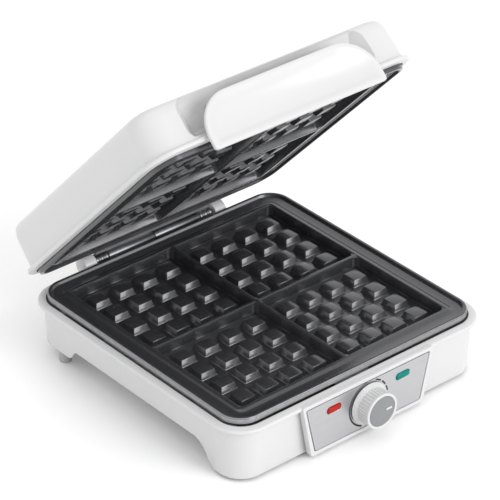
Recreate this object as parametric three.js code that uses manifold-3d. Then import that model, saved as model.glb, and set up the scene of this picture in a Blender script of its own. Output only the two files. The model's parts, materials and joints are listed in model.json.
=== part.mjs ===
// Four-slice waffle maker, open at its rest pose. Millimetres, +Z up, front faces -Y.
import * as THREE from 'three';
import { mergeVertices } from 'three/addons/utils/BufferGeometryUtils.js';
import Module from 'manifold-3d';

const wasm = await Module();
wasm.setup();

// Driving dimensions
const plateSize = 268; // outer width and depth of both cooking plates
const plateCorner = 21; // corner radius of the plates
const rimZ = 60; // the heights of the base's rim and control panel are measured from here
const plateRise = 3; // the lower plate stands this much higher
const partingZ = rimZ + plateRise; // height of the plane where the closed plates meet
const partingGap = 0.4; // each plate's edge stays this far from that plane
const lidAngle = THREE.MathUtils.degToRad(46.5); // how far the lid stands open at rest
const hingeBehindPlate = 8.9; // hinge axis behind the plates' rear edge
const hingeBelowParting = 4.7;
const skirtZ = 3; // lowest edge of the base housing
const archZ = 25; // underside of the sides between the legs
const touchGap = 0.3; // clearance between pieces that meet

// Waffle grid
const waffleSize = 112;
const dividerWidth = 4;
const pocketsPerSide = 4;
const pegPitch = 26;
const pegFoot = 18;
const pegTop = 14.5;
const pegTopDepth = 6.5; // below the parting plane
const wellDepth = 13;
const castingWall = 3;
const brimBack = 6.4; // the back of each plate's brim, from the parting plane

// Control panel
const podFace = 10.5; // front of the surround, in front of the plates' edge
const podTop = -4.6; // measured from rimZ
const podBottom = -57;
const podHalfTop = 73;
const podHalfBottom = 63;
const fasciaBorder = 4;
const dialHeight = -30.3;
const dialRadius = 16.5;
const dialSkirt = 19.5; // radius of the stepped rings at its foot
const dialReach = 27.5; // front of the dial, in front of the plates' edge
const lampX = 38.5;
const lampHeight = -19;
const lampLength = 15.5;
const lampWidth = 6.6;
const shaftBore = 4.6; // radius of the hole that the dial's shaft passes through

// Hinge
const pinRadius = 2;
const barrelRadius = 5.5;
const [endA, seamA, middle, seamB, endB] = [-66, -52, 0, 52, 66]; // the knuckles' seams along X
const knuckleGap = 0.5;
const earSpan = [67.5, 79.5];
const earRadius = 8;
const leafThickness = 2;
const hingeScrewPlaces = [-40, 40];

// Handle
const handlePosts = [-58, 58];
const handleBack = 11.4; // back and front of the panel, in front of the plates' edge
const handleFront = 15.4;
const handleScrewZ = partingZ + 27;

// Underside, gland and heating element
const coverZ = 27.5; // upper face of the shallow part of the cover
const deepCoverZ = 7; // upper face of the front compartment's floor
const glandX = 96;
const glandZ = 37;
const elementRadius = 3.3;
const elementSteps = 44;

// Screws
const screwShank = 1.6; // radius
const screwHole = screwShank + touchGap;

const half = plateSize / 2;
const hingeY = half + hingeBehindPlate;
const hingeZ = partingZ - hingeBelowParting;
const hingeScrewY = half - 9;
const baseLeafZ = partingZ - brimBack - touchGap - leafThickness; // underside of the base's leaf
const cornerSteps = 5;
const compartmentY = -half + 40;
const coverCorners = [[-1, -1], [1, -1], [-1, 1], [1, 1]];

const finishes = {
  whitePlastic: { color: 0xf2f2f1, roughness: 0.22, metalness: 0 },
  nonStick: { color: 0x2b2c30, roughness: 0.4, metalness: 0.35 },
  brushedSteel: { color: 0xb9babb, roughness: 0.38, metalness: 0.9 },
  darkMetal: { color: 0x4a4b4e, roughness: 0.35, metalness: 0.85 },
  bareAluminium: { color: 0xc4c6c8, roughness: 0.45, metalness: 0.9 },
  elementSteel: { color: 0x6a5f57, roughness: 0.55, metalness: 0.8 },
  greyPlastic: { color: 0x8d8f91, roughness: 0.45, metalness: 0 },
  redLens: { color: 0xc92a2c, roughness: 0.15, metalness: 0 },
  greenLens: { color: 0x0f9d92, roughness: 0.15, metalness: 0 },
  clearGlass: { color: 0xe8e4da, roughness: 0.08, metalness: 0 },
  rubber: { color: 0xb9b9b8, roughness: 0.8, metalness: 0 },
  blackRubber: { color: 0x232323, roughness: 0.8, metalness: 0 },
  ceramic: { color: 0xe7e2d6, roughness: 0.6, metalness: 0 },
  zincScrew: { color: 0xa9abad, roughness: 0.35, metalness: 0.95 },
};

const model = new THREE.Group();
const base = new THREE.Group();
const lid = new THREE.Group(); // holds the lid as it lies when closed, turned about the hinge axis
lid.position.set(0, hingeY, hingeZ);
lid.rotation.x = -lidAngle;
const closedLid = new THREE.Group();
closedLid.position.set(0, -hingeY, -hingeZ);
lid.add(closedLid);
model.add(base, lid);

function add(group, name, geometry, finish) {
  geometry.computeVertexNormals();
  const mesh = new THREE.Mesh(geometry, new THREE.MeshStandardMaterial(finishes[finish]));
  mesh.name = name;
  group.add(mesh);
  return mesh;
}

// ---- Solids and booleans

function merged(geometry) {
  const bare = geometry.clone();
  bare.deleteAttribute('normal');
  bare.deleteAttribute('uv');
  return mergeVertices(bare, 1e-4);
}

function signedVolume(geometry) {
  const position = geometry.getAttribute('position');
  const order = geometry.index.array;
  const [a, b, c] = [new THREE.Vector3(), new THREE.Vector3(), new THREE.Vector3()];
  let volume = 0;
  for (let i = 0; i < order.length; i += 3) {
    a.fromBufferAttribute(position, order[i]);
    b.fromBufferAttribute(position, order[i + 1]);
    c.fromBufferAttribute(position, order[i + 2]);
    volume += a.dot(b.cross(c)) / 6;
  }
  return volume;
}

function facingOut(geometry) {
  const body = merged(geometry);
  if (signedVolume(body) < 0) {
    const order = body.index.array;
    for (let i = 0; i < order.length; i += 3) {
      [order[i + 1], order[i + 2]] = [order[i + 2], order[i + 1]];
    }
  }
  return body;
}

function solid(geometry) {
  const body = facingOut(geometry);
  const vertProperties = new Float32Array(body.getAttribute('position').array);
  const triVerts = new Uint32Array(body.index.array);
  return new wasm.Manifold(new wasm.Mesh({ numProp: 3, vertProperties, triVerts }));
}

function geometryOf(manifold) {
  const mesh = manifold.getMesh();
  const geometry = new THREE.BufferGeometry();
  geometry.setAttribute('position', new THREE.BufferAttribute(mesh.vertProperties, 3));
  geometry.setIndex(new THREE.BufferAttribute(mesh.triVerts, 1));
  return geometry;
}

const join = (...geometries) => geometries.map(solid).reduce((sum, next) => sum.add(next));
const cut = (body, ...tools) => tools.map(solid).reduce((rest, tool) => rest.subtract(tool), body);

// ---- Rounded-square skins: every loop follows the plates' outline at a distance and height

function outlineLoop(offset, z) {
  const reach = half + offset;
  const radius = Math.max(plateCorner + offset, 2);
  const centre = reach - radius;
  const loop = [];
  for (const [turn, sideX, sideY] of [[0, 1, 1], [1, -1, 1], [2, -1, -1], [3, 1, -1]]) {
    for (let i = 0; i <= cornerSteps; i += 1) {
      const angle = (turn + i / cornerSteps) * Math.PI / 2;
      const x = sideX * centre + radius * Math.cos(angle);
      const y = sideY * centre + radius * Math.sin(angle);
      loop.push([x, y, z]);
    }
  }
  return loop;
}

// profile: [offset, z] pairs. A ring's profile is a closed section; a capped skin starts and
// ends in the middle of a face.
function skin(profile, ring) {
  const loops = profile.map(([offset, z]) => outlineLoop(offset, z));
  const count = loops[0].length;
  const points = loops.flat(2);
  const order = [];
  const rows = ring ? loops.length : loops.length - 1;
  for (let row = 0; row < rows; row += 1) {
    const low = row * count;
    const high = ((row + 1) % loops.length) * count;
    for (let i = 0; i < count; i += 1) {
      const j = (i + 1) % count;
      order.push(low + i, low + j, high + j, low + i, high + j, high + i);
    }
  }
  if (!ring) {
    const first = points.length / 3;
    points.push(0, 0, profile[0][1], 0, 0, profile.at(-1)[1]);
    const last = (loops.length - 1) * count;
    for (let i = 0; i < count; i += 1) {
      const j = (i + 1) % count;
      order.push(first, j, i, first + 1, last + i, last + j);
    }
  }
  const geometry = new THREE.BufferGeometry();
  geometry.setAttribute('position', new THREE.Float32BufferAttribute(points, 3));
  geometry.setIndex(order);
  return geometry;
}

const raised = (profile, lift) => profile.map(([offset, z]) => [offset, z + lift]);

// ---- Prisms and turned pieces

function polygon(points) {
  return new THREE.Shape(points.map(([a, b]) => new THREE.Vector2(a, b)));
}

function disc(a, b, radius) {
  return new THREE.Shape().absarc(a, b, radius, 0, Math.PI * 2);
}

function extrude(shape, depth, curveSegments = 8) {
  return new THREE.ExtrudeGeometry(shape, { depth, bevelEnabled: false, curveSegments });
}

// shape in (y, z), running along X
function alongX(shape, low, high, curveSegments) {
  const axes = new THREE.Matrix4().makeBasis(
    new THREE.Vector3(0, 1, 0), new THREE.Vector3(0, 0, 1), new THREE.Vector3(1, 0, 0));
  return extrude(shape, high - low, curveSegments).applyMatrix4(axes).translate(low, 0, 0);
}

// shape in (x, z), running along Y
function alongY(shape, low, high, curveSegments) {
  const axes = new THREE.Matrix4().makeBasis(
    new THREE.Vector3(1, 0, 0), new THREE.Vector3(0, 0, 1), new THREE.Vector3(0, -1, 0));
  return extrude(shape, high - low, curveSegments).applyMatrix4(axes).translate(0, high, 0);
}

// shape in (x, y), running along Z
function alongZ(shape, low, high, curveSegments) {
  return extrude(shape, high - low, curveSegments).translate(0, 0, low);
}

function block([x0, y0, z0], [x1, y1, z1]) {
  return new THREE.BoxGeometry(x1 - x0, y1 - y0, z1 - z0)
    .translate((x0 + x1) / 2, (y0 + y1) / 2, (z0 + z1) / 2);
}

// profile: [radius, z] pairs from the axis to the axis
function turned(profile, segments = 16) {
  const points = profile.map(([radius, z]) => new THREE.Vector2(radius, z));
  return new THREE.LatheGeometry(points, segments).rotateX(Math.PI / 2);
}

// a pan-head screw standing on its shank, its head's underside at z = 0
function screw(headRadius, headHeight, shankRadius, shankLength) {
  return turned([
    [0, -shankLength], [shankRadius, -shankLength], [shankRadius, 0], [headRadius, 0],
    [headRadius, headHeight * 0.55], [headRadius * 0.7, headHeight], [0, headHeight],
  ], 10);
}

function pill(x, z, length, width) {
  const radius = width / 2;
  const reach = length / 2 - radius;
  const shape = new THREE.Shape();
  shape.absarc(x + reach, z, radius, -Math.PI / 2, Math.PI / 2);
  shape.absarc(x - reach, z, radius, Math.PI / 2, Math.PI * 1.5);
  return shape;
}

// ---- Base housing: rim, drafted walls, legs at the corners and hinge ears at the back

const rimProfile = [
  [3.4, -11.5], [3.6, -9.4], [7.9, -8.5], [8.6, -7.2], [8.3, -5.6], [7.4, -4.8], [1.2, -4.1], [1.1, -12],
];

function baseHousing() {
  const wall = [[-0.6, skirtZ - rimZ], [1.6, skirtZ - rimZ], ...rimProfile];
  const shell = solid(skin(raised(wall, rimZ), true));
  const sideArch = polygon([
    [-108, -2], [-103, 5], [-95, 16], [-90, 22], [-84, archZ], [80, archZ], [87, 14.5], [160, 14.5],
    [160, -2],
  ]);
  const rearArch = polygon([
    [-106, -2], [-106, 14], [-98, archZ], [98, archZ], [106, 14], [106, -2],
  ]);
  const podSeat = podOutline(touchGap);
  const panelOpening = polygon([
    [-56, rimZ - 51], [56, rimZ - 51], [58, rimZ - 13.5], [-58, rimZ - 13.5],
  ]);
  const opened = cut(
    shell,
    alongX(sideArch, -160, 160),
    alongY(rearArch, 110, 160),
    alongY(podSeat, -half - 12, -half - 4),
    alongY(panelOpening, -half - 12, -half + 8),
    block([endA - 1.2, half - 8, rimZ - 12.6], [endB + 1.2, half + 12, rimZ + 1]),
    alongY(disc(glandX, glandZ, 5.2), half - 8, half + 8, 10),
  );
  const posts = [];
  for (const [sideX, sideY] of coverCorners) {
    const [x, y, low, top] = coverPost(sideX, sideY);
    const post = turned([[0, low + 2.6], [4.5, low + 2.6], [4.5, top], [0, top]], 12);
    post.translate(x, y, 0);
    const rib = block([0, -1.5, low + 3.5], [sideY < 0 ? 36 : 26, 1.5, top - 0.5]);
    rib.rotateZ(Math.atan2(sideY < 0 ? sideY : 0, sideX)).translate(x, y, 0);
    posts.push(join(post, rib));
  }
  const holes = coverCorners.map(([sideX, sideY]) => {
    const [x, y, low] = coverPost(sideX, sideY);
    return alongZ(disc(x, y, screwHole), low, low + 7, 6);
  });
  const withPosts = posts.reduce((sum, post) => sum.add(post), opened);
  const trimmed = withPosts.subtract(cut(solid(block([-200, -200, -2], [200, 200, 80])), skin(
    [[0.5, -5], [2.5, 8], [4.5, 44], [9.5, 50], [9.5, 70]], false)));
  const ears = [-1, 1].map((side) => {
    const low = Math.min(side * earSpan[0], side * earSpan[1]);
    const neck = polygon([
      [hingeY - earRadius, hingeZ], [half + 0.6, rimZ - 13], [half - 0.6, rimZ - 34],
      [half + 2, rimZ - 34], [hingeY + earRadius, hingeZ],
    ]);
    return join(
      alongX(disc(hingeY, hingeZ, earRadius), low, low + earSpan[1] - earSpan[0], 12),
      alongX(neck, low, low + earSpan[1] - earSpan[0]),
    );
  });
  const withEars = ears.reduce((sum, ear) => sum.add(ear), trimmed);
  const pinBore = alongX(disc(hingeY, hingeZ, pinRadius + touchGap), -90, 90, 8);
  return geometryOf(cut(withEars, pinBore, ...holes));
}

// ---- Control surround, fascia, lamps and dial on the front

function podOutline(grow, drop = 0) {
  return polygon([
    [-podHalfTop - grow, rimZ + podTop + grow - drop],
    [-podHalfBottom - grow, rimZ + podBottom - grow + drop],
    [podHalfBottom + grow, rimZ + podBottom - grow + drop],
    [podHalfTop + grow, rimZ + podTop + grow - drop],
  ]);
}

function controlSurround() {
  const front = -half - podFace;
  const lampHoles = [-1, 1].map((side) => alongY(
    pill(side * lampX, rimZ + lampHeight, lampLength + 1, lampWidth + 1), front - 2, -half + 8, 6));
  return geometryOf(cut(
    solid(alongY(podOutline(0), front, -half - 4.3)),
    alongY(podOutline(touchGap - fasciaBorder), front - 1, front + 1.4),
    alongY(disc(0, rimZ + dialHeight, shaftBore), front - 2, -half + 8, 8),
    ...lampHoles,
  ));
}

function controlFascia() {
  const shape = podOutline(-fasciaBorder);
  shape.holes.push(disc(0, rimZ + dialHeight, shaftBore));
  for (const side of [-1, 1]) {
    shape.holes.push(pill(side * lampX, rimZ + lampHeight, lampLength + 0.6, lampWidth + 0.6));
  }
  return alongY(shape, -half - podFace + 0.3, -half - podFace + 1.1, 8);
}

function lampLens(side) {
  const shape = pill(side * lampX, rimZ + lampHeight, lampLength, lampWidth);
  return alongY(shape, -half - podFace - 1.1, -half - podFace + 5.2, 6);
}

function lampBulb(side) {
  const bulb = turned([[0, 0], [2, 0.4], [2.5, 2], [2.5, 11], [1.4, 13], [0, 13]], 10);
  return bulb.rotateX(-Math.PI / 2).translate(side * lampX, -half - podFace + 6, rimZ + lampHeight);
}

// Turned about the dial's own axis, then laid along Y with its front towards -Y.
function onDialAxis(geometry) {
  return geometry.rotateX(Math.PI / 2).translate(0, -half, rimZ + dialHeight);
}

function controlDial() {
  const ring = dialRadius - 2.4;
  return onDialAxis(turned([
    [3.3, podFace + 0.6], [dialSkirt, podFace + 0.6], [dialSkirt, podFace + 2],
    [dialRadius + 1, podFace + 4.2], [dialRadius, dialReach - 1.2], [dialRadius - 1, dialReach],
    [ring, dialReach],
    [ring, dialReach - 1.6], [0, dialReach - 1.6], [0, dialReach - 5], [3.3, dialReach - 5],
    [3.3, podFace + 0.6],
  ], 28));
}

function dialCap() {
  const radius = dialRadius - 2.4 - touchGap;
  const disk = solid(onDialAxis(turned([
    [0, dialReach - 1.3], [radius, dialReach - 1.3], [radius, dialReach - 0.5], [0, dialReach - 0.5],
  ], 24)));
  return geometryOf(cut(disk, pointerBar(touchGap, dialReach + 1, dialReach - 0.9)));
}

// The bar that marks the dial's setting; it points towards +X at rest.
function pointerBar(grow, front, back) {
  return block(
    [4.5 - grow, -half - front, rimZ + dialHeight - 1 - grow],
    [11 + grow, -half - back, rimZ + dialHeight + 1 + grow]);
}

function dialPointer() {
  return pointerBar(0, dialReach - 0.1, dialReach - 0.8);
}

function thermostatShaft() {
  return onDialAxis(turned([[0, -13.7], [3, -13.7], [3, dialReach - 5.3], [0, dialReach - 5.3]], 16));
}

function thermostatBody() {
  const low = rimZ + dialHeight - 14;
  return join(
    block([-15, -half + 14, low], [15, -half + 28, low + 17]),
    block([-5, -half + 28, low + 3], [5, -half + 34, low + 14]),
  );
}

function thermostatBracket() {
  const low = rimZ + dialHeight - 14;
  const sheet = join(
    block([-19, -half + 12.5, low], [19, -half + 13.7, low + 30]),
    block([-19, -half + 2, low + 28.8], [19, -half + 13.7, low + 30]),
  );
  return cut(sheet, alongY(disc(0, rimZ + dialHeight, 3.6), -half, -half + 20, 8));
}

// ---- Cooking plates, heating elements and reflectors. Made for the base, and turned over for the lid

const plateProfile = [
  [-17, -brimBack], [-0.5, -brimBack], [0, 0.4 - brimBack], [0, -partingGap - 0.5], [-0.5, -partingGap],
  [-3.2, -partingGap], [-4.6, -3.2],
  [-13, -3.6], [-16, -2], [-19.5, -1.8], [-21, -2.6],
];

function frustum(lowHalf, lowZ, highHalf, highZ) {
  const shape = new THREE.CylinderGeometry(highHalf * Math.SQRT2, lowHalf * Math.SQRT2, highZ - lowZ, 4);
  return shape.rotateX(Math.PI / 2).rotateZ(Math.PI / 4).translate(0, 0, (lowZ + highZ) / 2);
}

// hingeSide says which edge, at +Y or -Y, the hinge leaf is screwed to
function cookingPlate(hingeSide) {
  const wellCentre = (waffleSize + dividerWidth) / 2;
  const underside = solid(skin([[-17, -wellDepth - castingWall], [-17.5, -4]], false));
  let plate = solid(skin(plateProfile, false)).add(underside);
  for (const [sideX, sideY] of [[-1, -1], [1, -1], [1, 1], [-1, 1]]) {
    let well = solid(frustum(waffleSize / 2 - 2, -wellDepth, waffleSize / 2 + 0.4, -1));
    for (let i = 0; i < pocketsPerSide; i += 1) {
      for (let j = 0; j < pocketsPerSide; j += 1) {
        const peg = frustum(pegFoot / 2, -wellDepth - 1, pegTop / 2, -pegTopDepth);
        peg.translate((i - 1.5) * pegPitch, (j - 1.5) * pegPitch, 0);
        well = well.subtract(solid(peg));
      }
    }
    plate = plate.subtract(well.translate(sideX * wellCentre, sideY * wellCentre, 0));
  }
  const holes = hingeScrewPlaces.map((x) => alongZ(
    disc(x, hingeSide * hingeScrewY, screwHole), -brimBack - 1, -brimBack + 1.3, 6));
  return geometryOf(cut(plate, ...holes));
}

// A tube bent as an M under the four wells, with both cold ends towards the front or back
function heatingElement() {
  const z = -wellDepth - castingWall - elementRadius - 0.9;
  const bends = [
    [-78, -112], [-78, 60], [-62, 78], [-42, 78], [-26, 60], [-26, -40], [-14, -54], [14, -54],
    [26, -40], [26, 60], [42, 78], [62, 78], [78, 60], [78, -112],
  ];
  const path = new THREE.CurvePath();
  for (let i = 1; i < bends.length; i += 1) {
    path.add(new THREE.LineCurve3(
      new THREE.Vector3(bends[i - 1][0], bends[i - 1][1], z),
      new THREE.Vector3(bends[i][0], bends[i][1], z)));
  }
  const smooth = new THREE.CatmullRomCurve3(path.getSpacedPoints(elementSteps), false, 'centripetal');
  const section = new THREE.Shape(Array.from({ length: 6 }, (_, i) => {
    const angle = (i + 0.5) * Math.PI / 3;
    return new THREE.Vector2(elementRadius * Math.cos(angle), elementRadius * Math.sin(angle));
  }));
  return new THREE.ExtrudeGeometry(section, {
    steps: elementSteps, extrudePath: smooth, bevelEnabled: false,
  });
}

// A thin tray round the element, open towards the plate
function reflector() {
  const floor = -wellDepth - castingWall - 9;
  const brim = floor + 14;
  return skin([
    [-14.4, floor], [-14.4, brim], [-13, brim], [-13, brim + 1], [-15.4, brim + 1], [-15.4, floor + 1],
  ], false);
}

// ---- Bottom cover, feet, rear cord gland and wiring parts

// centre of a cover screw, the height of the cover's underside there, and of the post's top
function coverPost(sideX, sideY) {
  return sideY < 0
    ? [sideX * 98, -half + 26, deepCoverZ - 2, 24]
    : [sideX * 112, half - 44, coverZ - 2, 34.4];
}

function footPlace(sideX, sideY) {
  return sideY < 0 ? [sideX * 114, -half + 14, 8.5] : [sideX * 127.5, half - 28, 5.5];
}

function bottomCover() {
  const wide = skin([[-2.6, -10], [-2.6, 60]], false);
  const shallow = block([-160, compartmentY, coverZ - 2], [160, 160, coverZ]);
  const step = block([-160, compartmentY - 2, deepCoverZ - 2], [160, compartmentY, coverZ]);
  const deep = block([-160, -160, deepCoverZ - 2], [160, compartmentY, deepCoverZ]);
  const holes = coverCorners.map(([sideX, sideY]) => {
    const [x, y] = coverPost(sideX, sideY);
    return alongZ(disc(x, y, screwHole), -5, coverZ + 5, 6);
  });
  const feetHoles = coverCorners.map(([sideX, sideY]) => {
    const [x, y, radius] = footPlace(sideX, sideY);
    return alongZ(disc(x, y, radius * 0.5 + touchGap), -5, coverZ + 5, 8);
  });
  const sheet = join(shallow, step, deep).intersect(solid(wide));
  return geometryOf(cut(sheet, ...holes, ...feetHoles));
}

function foot(sideX, sideY) {
  const [x, y, radius] = footPlace(sideX, sideY);
  const underCover = (sideY < 0 ? deepCoverZ : coverZ) - 2 - touchGap;
  const stud = radius * 0.5;
  return turned([
    [0, 0], [radius - 1, 0], [radius, 1], [radius, underCover], [stud, underCover],
    [stud, underCover + 3], [0, underCover + 3],
  ], 20).translate(x, y, 0);
}

function coverScrew(sideX, sideY) {
  const [x, y, low] = coverPost(sideX, sideY);
  return screw(3.4, 2, screwShank, 6).rotateX(Math.PI).translate(x, y, low - touchGap);
}

function cordGland() {
  const profile = [
    [0, half - 2], [6.6, half - 2], [6.6, half - 0.4], [4.8, half - 0.4], [4.8, half + 4.2],
    [7.4, half + 4.2], [6.6, half + 7.5], [4, half + 7.5], [4, half + 1], [0, half + 1],
  ];
  return turned(profile, 16).rotateX(-Math.PI / 2).translate(glandX, 0, glandZ);
}

function terminalBlock() {
  const [x, y, z] = [62, compartmentY - 14, deepCoverZ + 6];
  const ways = [-8, 0, 8].map((step) => alongY(disc(x + step, z, 2), y - 12, y + 12, 6));
  return geometryOf(cut(solid(block([x - 13, y - 7, z - 5], [x + 13, y + 7, z + 5])), ...ways));
}

function thermalFuse() {
  return turned([[0, 0], [2.4, 0.6], [2.4, 15], [1, 17], [0, 17]], 10)
    .rotateY(Math.PI / 2).translate(-8, 40, partingZ - 28.5);
}

// ---- Hinge: two interleaved leaves on one pin

function knuckles(spans) {
  return spans.map(([low, high]) => alongX(
    disc(hingeY, hingeZ, barrelRadius), low + knuckleGap / 2, high - knuckleGap / 2, 12));
}

function leafStrips(spans, outline) {
  return spans.map(([low, high]) => alongX(outline, low + knuckleGap / 2, high - knuckleGap / 2));
}

function hingeLeaf(spans, strip, leaf) {
  const body = join(
    ...knuckles(spans), ...leafStrips(spans, strip), alongX(leaf, endA + 1, endB - 1));
  return cut(body, alongX(disc(hingeY, hingeZ, pinRadius + touchGap), -90, 90, 8));
}

function baseLeaf() {
  const low = baseLeafZ;
  const strip = polygon([
    [half + 2, low], [hingeY, low], [hingeY, low + leafThickness], [half + 2, low + leafThickness]]);
  const leaf = polygon([
    [half - 14, low], [half + 3, low], [half + 3, low + leafThickness], [half - 14, low + leafThickness]]);
  const body = hingeLeaf([[seamA, middle], [seamB, endB]], strip, leaf);
  return geometryOf(cut(body, ...hingeScrewPlaces.map((x) => alongZ(
    disc(x, hingeScrewY, screwHole), low - 5, low + 8, 6))));
}

function lidLeaf() {
  const high = hingeZ + barrelRadius;
  const rise = partingZ + brimBack + touchGap + leafThickness;
  const strip = polygon([
    [half + 2, high - leafThickness], [hingeY, high - leafThickness], [hingeY, high], [half + 2, high]]);
  const leaf = polygon([
    [half - 14, rise - leafThickness], [half + 1, rise - leafThickness], [half + 1, high - leafThickness],
    [half + 3, high - leafThickness], [half + 3, rise], [half - 14, rise]]);
  const body = hingeLeaf([[endA, seamA], [middle, seamB]], strip, leaf);
  return geometryOf(cut(body, ...hingeScrewPlaces.map((x) => alongZ(
    disc(x, hingeScrewY, screwHole), rise - 8, rise + 5, 6))));
}

// ---- Lid housing, modelled closed

function lidHousing() {
  const underRim = rimProfile.map(([offset, z]) => [offset, -z]).reverse();
  const [innerRim, ...outerRim] = underRim;
  const inside = [[-13, 46.8], [-6, 46], [-1.2, 43], [0.6, 38], innerRim];
  const outside = [
    [3.9, 14], [3.5, 30], [2.6, 40], [0.4, 45.2], [-3, 48.2], [-8, 49.6], [-16, 50], [-70, 50.6],
  ];
  const shell = solid(skin(raised([...inside, ...outerRim, ...outside], partingZ), false));
  const front = -half;
  const backing = block([-105, front + 0.6, partingZ + 12.5], [105, front + 11, partingZ + 47.5]);
  const scoop = polygon([
    [front - 14, 48.9], [front + 1, 48.9], [front + 5, 45.5], [front + 7.4, 41], [front + 8, 36],
    [front + 8, 17], [front + 6, 12.5], [front + 2, 9.8], [front - 14, 9.8],
  ].map(([y, z]) => [y, z + partingZ]));
  const body = shell.add(solid(backing));
  const rearNotch = block(
    [-earSpan[1] - 2, half - 3, partingZ - 1], [earSpan[1] + 2, half + 12, partingZ + 12.2]);
  const bolts = handlePosts.map((x) => alongY(
    disc(x, handleScrewZ, screwHole + 0.5), front - 4, front + 14, 6));
  return geometryOf(cut(body, alongX(scoop, -101, 101), rearNotch, ...bolts));
}

// ---- Handle: a wide panel in front of the scoop, on two posts

function lidHandle() {
  const bottom = partingZ - 7;
  const top = partingZ + 37.5;
  const reach = 92;
  const panel = new THREE.Shape();
  panel.moveTo(-reach + 3, bottom);
  panel.lineTo(reach - 3, bottom);
  panel.quadraticCurveTo(reach, bottom, reach, bottom + 3);
  panel.lineTo(reach, top - 22);
  panel.bezierCurveTo(reach, top - 8, reach - 18, top, reach - 42, top);
  panel.lineTo(-reach + 42, top);
  panel.bezierCurveTo(-reach + 18, top, -reach, top - 8, -reach, top - 22);
  panel.lineTo(-reach, bottom + 3);
  panel.quadraticCurveTo(-reach, bottom, -reach + 3, bottom);
  const posts = handlePosts.map((x) => block(
    [x - 9, -half - handleBack - 1, partingZ + 19], [x + 9, -half + 8 - touchGap, partingZ + 35]));
  const bores = handlePosts.map((x) => alongY(
    disc(x, handleScrewZ, screwHole), -half - handleBack + 1, -half + 12, 6));
  const dish = alongY(polygon([
    [-reach + 8, top - 6], [-reach + 8, bottom + 5], [reach - 8, bottom + 5], [reach - 8, top - 6],
  ]), -half - handleFront - 1, -half - handleFront + 0.1);
  return geometryOf(cut(
    join(alongY(panel, -half - handleFront, -half - handleBack, 6), ...posts), dish, ...bores));
}

function handleScrew(x) {
  return screw(3.6, 2.2, screwShank, 14).rotateX(-Math.PI / 2)
    .translate(x, -half + 11 + touchGap, handleScrewZ);
}

// ---- Assembly

add(base, 'base_housing', baseHousing(), 'whitePlastic');
add(base, 'control_surround', controlSurround(), 'whitePlastic');
add(base, 'control_fascia', controlFascia(), 'brushedSteel');
add(base, 'power_lamp_lens', lampLens(-1), 'redLens');
add(base, 'ready_lamp_lens', lampLens(1), 'greenLens');
add(base, 'power_lamp_bulb', lampBulb(-1), 'clearGlass');
add(base, 'ready_lamp_bulb', lampBulb(1), 'clearGlass');
add(base, 'control_dial', controlDial(), 'whitePlastic');
add(base, 'dial_cap', dialCap(), 'greyPlastic');
add(base, 'dial_pointer', dialPointer(), 'whitePlastic');
add(base, 'thermostat_shaft', thermostatShaft(), 'zincScrew');
add(base, 'thermostat_body', geometryOf(thermostatBody()), 'ceramic');
add(base, 'thermostat_bracket', geometryOf(thermostatBracket()), 'zincScrew');
add(base, 'lower_plate', cookingPlate(1), 'nonStick').position.z = partingZ;
add(base, 'lower_heating_element', heatingElement(), 'elementSteel').position.z = partingZ;
add(base, 'lower_reflector', reflector(), 'bareAluminium').position.z = partingZ;
add(base, 'thermal_fuse', thermalFuse(), 'ceramic');
add(base, 'terminal_block', terminalBlock(), 'ceramic');
add(base, 'bottom_cover', bottomCover(), 'whitePlastic');
add(base, 'cord_gland', cordGland(), 'blackRubber');
add(base, 'hinge_pin', alongX(disc(hingeY, hingeZ, pinRadius), -78.5, 78.5, 8), 'zincScrew');
add(base, 'base_hinge_leaf', baseLeaf(), 'darkMetal');

for (const [sideX, sideY] of coverCorners) {
  const corner = `${sideY < 0 ? 'front' : 'rear'}_${sideX < 0 ? 'left' : 'right'}`;
  add(base, `foot_${corner}`, foot(sideX, sideY), 'rubber');
  add(base, `cover_screw_${corner}`, coverScrew(sideX, sideY), 'zincScrew');
}

const turnedOver = new THREE.Group(); // carries the plate that faces down
turnedOver.position.z = partingZ;
turnedOver.rotation.x = Math.PI;
closedLid.add(turnedOver);
add(closedLid, 'lid_housing', lidHousing(), 'whitePlastic');
add(closedLid, 'lid_handle', lidHandle(), 'whitePlastic');
add(closedLid, 'lid_hinge_leaf', lidLeaf(), 'darkMetal');
add(turnedOver, 'upper_plate', cookingPlate(-1), 'nonStick');
add(turnedOver, 'upper_heating_element', heatingElement(), 'elementSteel');
add(turnedOver, 'upper_reflector', reflector(), 'bareAluminium');

for (const [i, x] of hingeScrewPlaces.entries()) {
  const side = i === 0 ? 'left' : 'right';
  const headBelow = baseLeafZ - touchGap;
  const headAbove = partingZ + brimBack + leafThickness + 2 * touchGap;
  add(base, `base_leaf_screw_${side}`,
    screw(3.2, 1.8, screwShank, 3.5).rotateX(Math.PI).translate(x, hingeScrewY, headBelow), 'zincScrew');
  add(closedLid, `lid_leaf_screw_${side}`,
    screw(3.2, 1.8, screwShank, 3.5).translate(x, hingeScrewY, headAbove), 'zincScrew');
  add(closedLid, `handle_screw_${side}`, handleScrew(handlePosts[i]), 'zincScrew');
}

// The origin is the middle of the footprint, on the surface that the feet stand on.
const reach = new THREE.Box3().setFromObject(model, true);
model.position.set(0, -(reach.min.y + reach.max.y) / 2, 0);

export default model;
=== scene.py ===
import json
import math

import bmesh
import bpy
from mathutils import Matrix, Vector


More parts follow.
